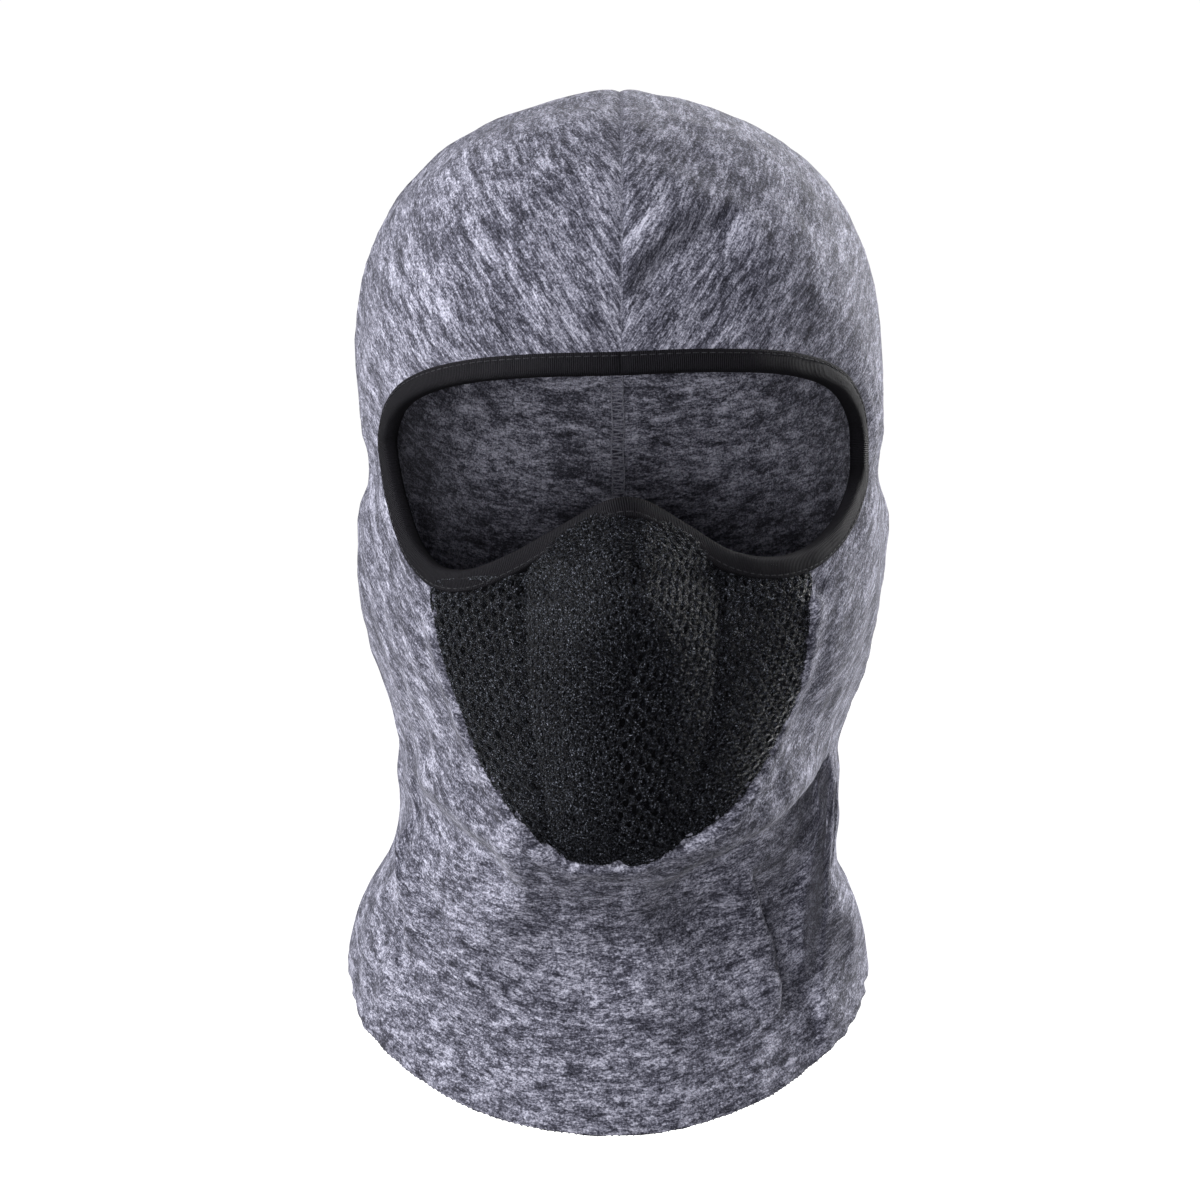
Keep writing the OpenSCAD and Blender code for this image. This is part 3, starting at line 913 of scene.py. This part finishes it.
def build_binding():
    """The band, a little uneven in height and nipped where its ends are joined."""
    p, across, out = frames_on_front(EYE_LOOP, True)
    m = len(p)
    run = np.arange(m) * EYE_ROUND / m
    section = band_section()
    wave = 1 + 0.10 * np.sin(run * 2 * math.pi / 37) + 0.07 * np.sin(run * 2 * math.pi / 13.7 + 1)
    join = JOIN_DIP * bell(np.minimum(run, EYE_ROUND - run), JOIN_W)
    verts = np.empty((m, len(section), 3))
    for k, (a, o) in enumerate(section):
        height = o * (wave if o > 0 else 1) - (join if o > -0.5 else 0) + np.zeros(m)
        verts[:, k] = p + across * a + out * height[:, None]
    return make_piece("eye_binding_band", verts.reshape(-1, 3),
                      grid_faces_ring(m, len(section), True)[:, ::-1], BINDING,
                      {"run": np.repeat(run, len(section))})


STITCH_IN, STITCH_UP = 1.2, 0.70
STITCH_PITCH = 2.6
STITCH_GAP = 0.06
STITCH_R = 0.15
# Share of the pitch and height at the points of one stitch, which dips into the cloth at its ends
STITCH = np.array([
    (STITCH_GAP, -0.35), (STITCH_GAP + 0.12, -0.02), (0.3, 0.12), (0.5, 0.16), (0.7, 0.12),
    (0.88 - STITCH_GAP, -0.02), (1 - STITCH_GAP, -0.35),
])


def build_topstitch():
    """Lockstitch round the band, one short thread for each stitch."""
    frames = [looped(q) for q in frames_on_front(EYE_LOOP, True)]
    run = np.arange(len(frames[0])) * EYE_ROUND / (len(frames[0]) - 1)
    stitches = []
    for i in range(int(EYE_ROUND / STITCH_PITCH)):
        p, across, out = sampled((i + STITCH[:, 0]) * STITCH_PITCH, run, *frames)
        line = p + across * STITCH_IN + out * (STITCH_UP + STITCH[:, 1:])
        stitches.append(tube(line, STITCH_R, 5))
    return make_piece("binding_topstitch_thread", *joined(stitches), BLACK_THREAD)


# ------------ mask
MASK_TOP_Z = 14.0
MASK_LOW_Z = -106
MASK_HALF = 60.0
GORE_STEPS = 121
FLAT_COLUMNS = 240
NET_DEPTH = 0.1
BACK_DEPTH = 1.95
BACK_T = 0.35
SEAM_DIP, SEAM_DIP_W = 1.25, 1.9
GORE_PUFF, GORE_PUFF_W = 1.0, 13
EDGE_TUCK, EDGE_TUCK_W = 0.9, 3.0


def inside(xz, outline):
    """Whether points are inside a closed outline."""
    a, b = outline, np.roll(outline, -1, 0)
    x, z = xz[..., 0, None], xz[..., 1, None]
    crosses = (a[:, 1] > z) != (b[:, 1] > z)
    with np.errstate(divide="ignore", invalid="ignore"):
        at = a[:, 0] + (z - a[:, 1]) * (b[:, 0] - a[:, 0]) / (b[:, 1] - a[:, 1])
    return (np.sum(crosses & (x < at), axis=-1) % 2) == 1


def nearest_on(xz, outline):
    """Nearest points of a closed outline, and how far they are."""
    a, b = outline, np.roll(outline, -1, 0)
    best, gap = np.zeros_like(xz), np.full(xz.shape[:-1], 1e9)
    for p, q in zip(a, b):
        d = q - p
        size = max(float(d @ d), 1e-9)
        u = np.clip(((xz - p) @ d) / size, 0, 1)
        c = p + u[..., None] * d
        g = np.linalg.norm(xz - c, axis=-1)
        closer = g < gap
        best, gap = np.where(closer[..., None], c, best), np.where(closer, g, gap)
    return best, gap


def curve_x(points):
    """Function giving X at heights along a line that runs downwards."""
    line = spline(points, 10)
    order = np.argsort(line[:, 1])
    return lambda z: np.interp(z, line[order, 1], line[order, 0])


SEAM_X = [curve_x(line) for line in (SEAM_LEFT, SEAM_CENTRE, SEAM_RIGHT)]
MASK_LINE = spline(MASK_EDGE, 8)
# The mask's own outline: under the fleece by a little, and up under the binding
MASK_OUTLINE = np.concatenate([
    offset_line(MASK_LINE, 1.6), [[-54, -19], [-50, -16], [-50, 20], [50, 20], [50, -14]]])
EYE_UNDER = offset_line(spline(EYE_EDGE, 6, True), -2.8)
EYE_LOW = EYE_UNDER[np.argmax(EYE_UNDER[:, 0]):np.argmin(EYE_UNDER[:, 0])][::-1]


def in_mask(xz):
    """Inside the mask's outline, and not above the middle of the binding."""
    top = np.interp(xz[..., 0], EYE_LOW[:, 0], EYE_LOW[:, 1])
    return inside(xz, MASK_OUTLINE) & (xz[..., 1] < top)


def gore_edges(index):
    """Left and right edges of a gore in X and Z, from the top down; gore 0 is the one on -X."""
    heights = np.linspace(MASK_TOP_Z, MASK_LOW_Z, GORE_STEPS)
    left = SEAM_X[index - 1](heights) if index > 0 else np.full(GORE_STEPS, -MASK_HALF)
    right = SEAM_X[index](heights) if index < 3 else np.full(GORE_STEPS, MASK_HALF)
    out_l, out_r = [], []
    for z, a, b in zip(heights, left, right):
        x = np.linspace(a, b, GORE_STEPS)
        ok = in_mask(stacked(x, np.full(GORE_STEPS, z)))
        if ok.any():
            out_l.append((x[ok][0], z))
            out_r.append((x[ok][-1], z))
    return np.array(out_l), np.array(out_r)


class Flat:
    """A gore laid flat: distances over the surface from its own centre line."""

    def __init__(self, left, right):
        self.z = left[:, 1]
        self.left, self.right = left[:, 0], right[:, 0]
        low, high = min(left[:, 0].min(), right[:, 0].min()), max(left[:, 0].max(), right[:, 0].max())
        self.x = np.linspace(low, high, FLAT_COLUMNS)
        grid = np.stack(np.meshgrid(self.x, self.z), -1)
        p = front(grid)
        step = np.linalg.norm(np.diff(p, axis=1), axis=-1)
        self.u = np.concatenate([np.zeros((len(self.z), 1)), np.cumsum(step, axis=1)], 1)
        middle = (self.left + self.right) / 2
        for i, m in enumerate(middle):
            self.u[i] -= np.interp(m, self.x, self.u[i])
        self.v = -lengths(front(stacked(middle, self.z)))
        self.size = (self.u.max() - self.u.min(), -self.v[-1])

    def to_xz(self, uv):
        z = np.interp(uv[..., 1], self.v[::-1], self.z[::-1])
        row = np.clip(np.searchsorted(-self.z, -z) - 1, 0, len(self.z) - 2)
        x0, x1 = np.empty(z.shape), np.empty(z.shape)
        for i in np.unique(row):
            here = row == i
            x0[here] = np.interp(uv[here][:, 0], self.u[i], self.x)
            x1[here] = np.interp(uv[here][:, 0], self.u[i + 1], self.x)
        share = (self.z[row] - z) / (self.z[row] - self.z[row + 1])
        return stacked(x0 + (x1 - x0) * share, z)


def seam_distance(xz, index):
    """Distance over the mask to the nearest gore seam beside a gore."""
    gap = np.full(xz.shape[:-1], 40.0)
    for k in (index - 1, index):
        if 0 <= k < 3:
            gap = np.minimum(gap, np.abs(xz[..., 0] - SEAM_X[k](xz[..., 1])))
    return gap


def gore_height(xz, index):
    """How far the gore's face stands from the hood's surface."""
    gap = seam_distance(xz, index)
    puff = GORE_PUFF * smoothstep(0, GORE_PUFF_W, gap) - SEAM_DIP * bell(gap, SEAM_DIP_W)
    _, edge = nearest_on(xz, MASK_OUTLINE[:len(MASK_LINE)])
    return puff - EDGE_TUCK * bell(edge, EDGE_TUCK_W)


def placed(xz, height):
    """Points that stand a height off the front surface."""
    return front(xz) + front_normal(xz) * height[..., None]


# Holes of each gore: spacing of their columns, spacing along a column, half axes of a hole, its
# tilt in radians, slant of the columns, and height of the filament between the holes
GORES = [
    ("mask_side_left", 3.0, 4.6, 1.04, 1.85, -0.20, -0.16, 0.12),
    ("mask_centre_left", 2.3, 3.0, 0.42, 0.66, -0.15, -0.10, 0.14),
    ("mask_centre_right", 3.1, 4.3, 0.95, 1.55, 0.28, 0.20, 0.12),
    ("mask_side_right", 3.0, 4.3, 1.00, 1.66, 0.32, 0.26, 0.12),
]
SPARE_COLUMNS = 14
RING_SIDES = 12
# Sizes of the filament's edge and of the wall's foot as shares of the hole, and depth of the rim
HOLE_LIP, HOLE_TAPER, HOLE_DIP = 1.10, 0.92, 0.25
NET_REACH = 1.5
LEAST_QUAD = 0.004
STRANDS = 4
STRAND_R = 0.21
STRAND_STEP = 0.45
STRAND_WEAVE, STRAND_WAVE = 0.20, 1.45
STRAND_RISE = 0.22
BACK_COLUMNS = 46


def column_count(flat, pitch_u):
    """Columns of holes on each side of the middle, with enough spare for their slant."""
    return int(flat.size[0] / pitch_u) + SPARE_COLUMNS


def hole_centres(index, flat, outline):
    """Centres of a gore's holes, laid flat, in staggered columns."""
    _, pitch_u, pitch_v, _, _, _, slant, _ = GORES[index]
    columns = column_count(flat, pitch_u)
    cells = []
    for i in range(-columns, columns + 1):
        for j in range(-2, int(flat.size[1] / pitch_v) + 4):
            v = -(j + 0.5 * (i % 2)) * pitch_v
            cells.append((i * pitch_u + v * slant, v))
    cells = np.array(cells)
    xz = flat.to_xz(cells)
    kept = inside(xz, outline) | (nearest_on(xz, outline)[1] < 0.55 * pitch_u)
    kept &= (cells[:, 1] < NET_REACH) & (cells[:, 1] > flat.v[-1] - NET_REACH)
    return cells[kept]


def hexagon_border(pitch_u, pitch_v, slant):
    """Points round a cell's border, shared exactly by its six neighbours."""
    corners = np.array([
        (pitch_u * 0.667, 0.0), (pitch_u * 0.333, pitch_v / 2), (-pitch_u * 0.333, pitch_v / 2),
        (-pitch_u * 0.667, 0.0), (-pitch_u * 0.333, -pitch_v / 2), (pitch_u * 0.333, -pitch_v / 2)])
    middle = (corners + np.roll(corners, -1, 0)) / 2
    both = np.stack([corners, middle], 1).reshape(-1, 2)
    both[:, 0] += slant * both[:, 1]
    return both


def cell_rings(index):
    """Rings of points round a hole, from its cell's border to the backing, and their heights."""
    _, pitch_u, pitch_v, hole_u, hole_v, tilt, slant, filament = GORES[index]
    angle = (np.arange(RING_SIDES) + 0.5) * 2 * math.pi / RING_SIDES
    c, s = np.cos(angle), np.sin(angle)
    ct, st = math.cos(tilt), math.sin(tilt)
    hole = stacked(hole_u * c * ct - hole_v * s * st, hole_u * c * st + hole_v * s * ct)
    border = hexagon_border(pitch_u, pitch_v, slant)
    return [
        (border, filament * 0.55), (border * 0.45 + hole * 0.55 * 1.12, filament),
        (hole * HOLE_LIP, filament * 0.55), (hole, -HOLE_DIP),
        (hole * HOLE_TAPER, NET_DEPTH - BACK_DEPTH + 0.12),
    ]


def gore_net(index, flat, outline):
    """The face of the air mesh: knitted filament round rows of staggered holes."""
    cells, rings = hole_centres(index, flat, outline), cell_rings(index)
    wobble = 1 + 0.10 * np.random.default_rng(40 + index).normal(size=(len(cells), 1, 1))
    uv = np.stack([cells[:, None] + ring * (wobble if k else 1)
                   for k, (ring, _) in enumerate(rings)], 1)
    height = np.tile(np.repeat([rise for _, rise in rings], RING_SIDES), len(cells))
    xz = flat.to_xz(uv.reshape(-1, 2))
    outside = ~inside(xz, outline)
    xz[outside] = nearest_on(xz[outside], outline)[0]
    rough = smooth_noise(stacked(xz[:, 0], 0 * xz[:, 0], xz[:, 1]), 1.9, 60 + index)
    p = placed(xz, height + gore_height(xz, index) - NET_DEPTH + 0.10 * rough * (height > 0))
    base = np.arange(len(cells))[:, None, None] * len(rings) * RING_SIDES
    quads = (base + grid_faces(len(rings), RING_SIDES, True)).reshape(-1, 4)
    a, b, c, d = (p[quads[:, k]] for k in range(4))
    return p, quads[np.linalg.norm(np.cross(c - a, d - b), axis=1) > LEAST_QUAD]


def gore_strands(index, flat, outline):
    """Filaments knitted down the walls between the holes, weaving round each other."""
    _, pitch_u, pitch_v, hole_u, _, _, slant, _ = GORES[index]
    columns = column_count(flat, pitch_u)
    v = -np.arange(0, flat.size[1], STRAND_STEP * (1))
    spread = (pitch_u - hole_u) / STRANDS * 0.92
    parts = []
    rng = np.random.default_rng(70 + index)
    for i in range(-columns, columns + 1):
        middle = (i + 0.5) * pitch_u + slant * v
        middle = middle + hole_u / 2 * np.cos(2 * math.pi * (v / pitch_v + 0.5 * (i % 2)))
        for k in range(STRANDS):
            phase = 2 * math.pi * v / STRAND_WAVE + rng.uniform(0, 2 * math.pi)
            u = middle + (k - (STRANDS - 1) / 2) * spread + STRAND_WEAVE * np.sin(phase)
            xz = flat.to_xz(stacked(u, v))
            ok = inside(xz, outline)
            weave = STRAND_WEAVE * np.cos(phase + k * math.pi)
            p = placed(xz, gore_height(xz, index) - NET_DEPTH + STRAND_RISE + weave)
            cuts = np.flatnonzero(np.diff(ok.astype(int))) + 1
            for run in np.split(np.arange(len(v)), cuts):
                if ok[run[0]] and len(run) > 3:
                    parts.append(tube(p[run], STRAND_R, 4))
    return joined(parts)


def gore_backing(index, flat):
    """Closed thin sheet behind the net."""
    rows, cols = len(flat.z), BACK_COLUMNS
    across = np.linspace(0, 1, cols)
    xz = stacked(flat.left[:, None] + (flat.right - flat.left)[:, None] * across,
                 np.broadcast_to(flat.z[:, None], (rows, cols)))
    h = gore_height(xz, index) - BACK_DEPTH
    a, b = placed(xz, h).reshape(-1, 3), placed(xz, h - BACK_T).reshape(-1, 3)
    top = grid_faces(rows, cols)
    rim = np.concatenate([np.arange(cols), np.arange(1, rows) * cols + cols - 1,
                          (rows - 1) * cols + np.arange(cols - 2, -1, -1),
                          np.arange(rows - 2, 0, -1) * cols])
    nxt = np.roll(rim, -1)
    side = stacked(rim, rim + len(a), nxt + len(a), nxt)
    return np.concatenate([a, b]), np.concatenate([top, top[:, ::-1] + len(a), side])


def build_mask():
    """Net, filament and backing of each gore; the backing is the sheet."""
    for index, gore in enumerate(GORES):
        left, right = gore_edges(index)
        flat, outline = Flat(left, right), np.concatenate([left, right[::-1]])
        net = make_piece(gore[0] + "_net", *gore_net(index, flat, outline), AIR_MESH)
        backing = make_piece(gore[0] + "_backing", *gore_backing(index, flat), BACKING)
        strands = make_piece(gore[0] + "_filament", *gore_strands(index, flat, outline), AIR_MESH)
        for piece in (net, backing, strands):
            place(piece, gore[0])


# ------------ seam threads
def overlock(points, across, out, width, pitch, radius, height):
    """Three-thread overlock: a zigzag of loops with a straight needle line beside it."""
    run = lengths(points)
    s = np.linspace(0, run[-1], int(run[-1] / pitch) * 10 + 1)
    phase = s / pitch * 2 * math.pi
    q, a, o = sampled(s, run, points, across, out)

    def thread(aside, rise, r):
        return tube(q + a * aside[:, None] + o * rise[:, None], r, 5)

    zigzag = np.clip(1.25 * np.sin(phase), -1, 1) * width / 2
    needle = width * 0.5 + 0.12 * np.sin(phase * 2)
    return joined([
        thread(zigzag, height + 0.22 * np.cos(phase * 2), radius),
        thread(needle, height + 0.20 + 0.12 * np.cos(phase * 2 + 0.6), radius),
        thread(-needle * 0.96, height + 0.1 + 0.12 * np.sin(phase * 2), radius * 0.9),
    ])


# Section of the crown seam's allowance: across, and into the hood
ALLOWANCE = np.array([
    (-2.1, -0.2), (-2.0, 0.35), (-1.2, 0.62), (0, 0.7), (1.2, 0.62), (2.0, 0.35), (2.1, -0.2)])


def build_crown_seam():
    """Overlocked allowance inside the hood, from the binding over the crown to the nape hem."""
    line, n = HOOD_IN[3:-3, 0], HOOD_NORMAL[3:-3, 0]
    even = resample(np.concatenate([line - n * 0.25, n], 1), 420)
    points, out = even[:, :3], -unit(even[:, 3:])
    across = unit(np.cross(directions(points), out))
    verts = points[:, None] + ALLOWANCE[:, :1] * across[:, None] + ALLOWANCE[:, 1:] * out[:, None]
    ridge = make_piece("crown_seam_allowance", verts.reshape(-1, 3),
                       grid_faces_ring(len(points), len(ALLOWANCE), False), FLEECE,
                       {"grain": np.repeat(points[:, 2] * 1.3, len(ALLOWANCE))})
    thread = overlock(points, across, out, 4.0, 2.3, 0.26, 0.85)
    return make_piece("crown_seam_thread", *thread, GREY_THREAD), ridge


def build_mask_seams():
    for line, node in ((SEAM_LEFT, "mask_left_seam_overlock"),
                       (SEAM_CENTRE, "mask_centre_seam_overlock"),
                       (SEAM_RIGHT, "mask_right_seam_overlock")):
        xz = even_on_front(spline(line, 12), 200)[0]
        p, across, out = frames_on_front(xz[in_mask(xz)])
        inner = p - out * (SEAM_DIP + BACK_DEPTH + BACK_T + 0.35)
        thread = overlock(inner, across, -out, 3.6, 2.4, 0.22, 0.25)
        place(make_piece(node + "_thread", *thread, BLACK_THREAD), node)


def build_mask_edge_seam():
    xz = even_on_front(offset_line(spline(MASK_EDGE, 12), 1.5), 420)[0]
    p, across, out = frames_on_front(xz)
    thread = overlock(p - out * (FLEECE_T + 1.1), across, -out, 4.0, 2.4, 0.24, 0.35)
    return make_piece("mask_edge_thread", *thread, GREY_THREAD)


HEM_PITCH = 2.1
HEM_HALF = FLEECE_T / 2 * 0.8 - 0.02


def build_hem_seam():
    """Fine overlock wrapped over the raw hem."""
    middle = (HOOD_OUT[-1] + HOOD_IN[-1]) / 2
    down = unit(HOOD_OUT[-1] - HOOD_OUT[-4])
    even = resample(np.concatenate([middle, HOOD_NORMAL[-1], down], 1), 2200, True)
    p, n, down = even[:, :3], unit(even[:, 3:6]), unit(even[:, 6:])
    run = lengths(looped(p))
    loops = int(run[-1] / HEM_PITCH)
    s = np.linspace(0, run[-1], loops * 12, endpoint=False)
    q, a, o = sampled(s, run, looped(p), looped(n), looped(down))
    phase = s / run[-1] * loops * 2 * math.pi
    line = q + a * (np.cos(phase) * HEM_HALF)[:, None] + o * (np.sin(phase) * 1.2 - 0.55)[:, None]
    return make_piece("hem_thread", *tube(line, 0.15, 5, True), GREY_THREAD)


def place_pieces():
    band, stitches = build_binding(), build_topstitch()
    place(band, "eye_binding")
    place(stitches, "binding_topstitch")
    build_mask()
    crown, ridge = build_crown_seam()
    edge, hem = build_mask_edge_seam(), build_hem_seam()
    place(crown, "crown_seam_overlock")
    place(ridge)
    place(edge, "mask_edge_overlock")
    place(hem, "hem_overlock")
    build_mask_seams()


place_pieces()


# ------------ stage
FLOOR_Z = -0.36
FLOOR_R = 30
LIT = 0.21
SEEN = 1.02
AIM = np.array([0, 0, -0.02])
CAMERA_AT = (-0.006, -1.3, -0.025)
VIEW_HALF = 0.1875
# Name, place, width and power of each lamp
LAMPS = [
    ("side_left", (-1.25, 0.15, 0.35), 0.8, 26.0), ("side_right", (0.95, 0.8, 0.5), 0.8, 52.0),
    ("key", (-1.0, -1.2, 0.85), 0.3, 26.0), ("front", (-0.1, -1.9, -0.24), 0.5, 31.0),
]


def lay_floor():
    """A wide floor that looks white and throws no light up under the chin."""
    bpy.ops.mesh.primitive_circle_add(vertices=96, radius=FLOOR_R, fill_type="NGON",
                                      location=(0, 0, FLOOR_Z))
    floor = bpy.context.object
    floor.name = "studio_floor"
    floor.data.materials.append(floor_material())
    floor.visible_diffuse = False
    floor.visible_glossy = False


def light_world():
    """A white world that is dimmer as light than as what is seen."""
    world = bpy.context.scene.world or bpy.data.worlds.new("studio")
    bpy.context.scene.world = world
    world.use_nodes = True
    tree = world.node_tree
    seen = tree.nodes.new("ShaderNodeBackground")
    mix = tree.nodes.new("ShaderNodeMixShader")
    path = tree.nodes.new("ShaderNodeLightPath")
    tree.links.new(path.outputs["Is Camera Ray"], mix.inputs["Fac"])
    for slot, (node, strength) in enumerate(((tree.nodes["Background"], LIT), (seen, SEEN)), 1):
        node.inputs["Color"].default_value = (1, 1, 1, 1)
        node.inputs["Strength"].default_value = strength
        tree.links.new(node.outputs[0], mix.inputs[slot])
    tree.links.new(mix.outputs[0], tree.nodes["World Output"].inputs["Surface"])


def add_object(name, data, at):
    thing = bpy.data.objects.new(name, data)
    bpy.context.scene.collection.objects.link(thing)
    thing.location = at
    return thing


def add_lamp(name, at, size, power):
    data = bpy.data.lights.new(name, "AREA")
    data.shape = "DISK"
    data.size = size
    data.energy = power
    lamp = add_object(name, data, at)
    lamp.rotation_euler = Vector(AIM - np.array(at)).to_track_quat("-Z", "Y").to_euler()


def add_camera():
    data = bpy.data.cameras.new("camera")
    data.angle = 2 * math.atan(VIEW_HALF / -CAMERA_AT[1])
    data.clip_start = 0.05
    camera = add_object("camera", data, CAMERA_AT)
    camera.rotation_euler = (math.pi / 2, 0, 0)
    bpy.context.scene.camera = camera


def studio():
    """Pale floor, soft lights and the camera."""
    lay_floor()
    light_world()
    for lamp in LAMPS:
        add_lamp(*lamp)
    add_camera()
    bpy.context.scene.view_settings.view_transform = "Standard"


studio()
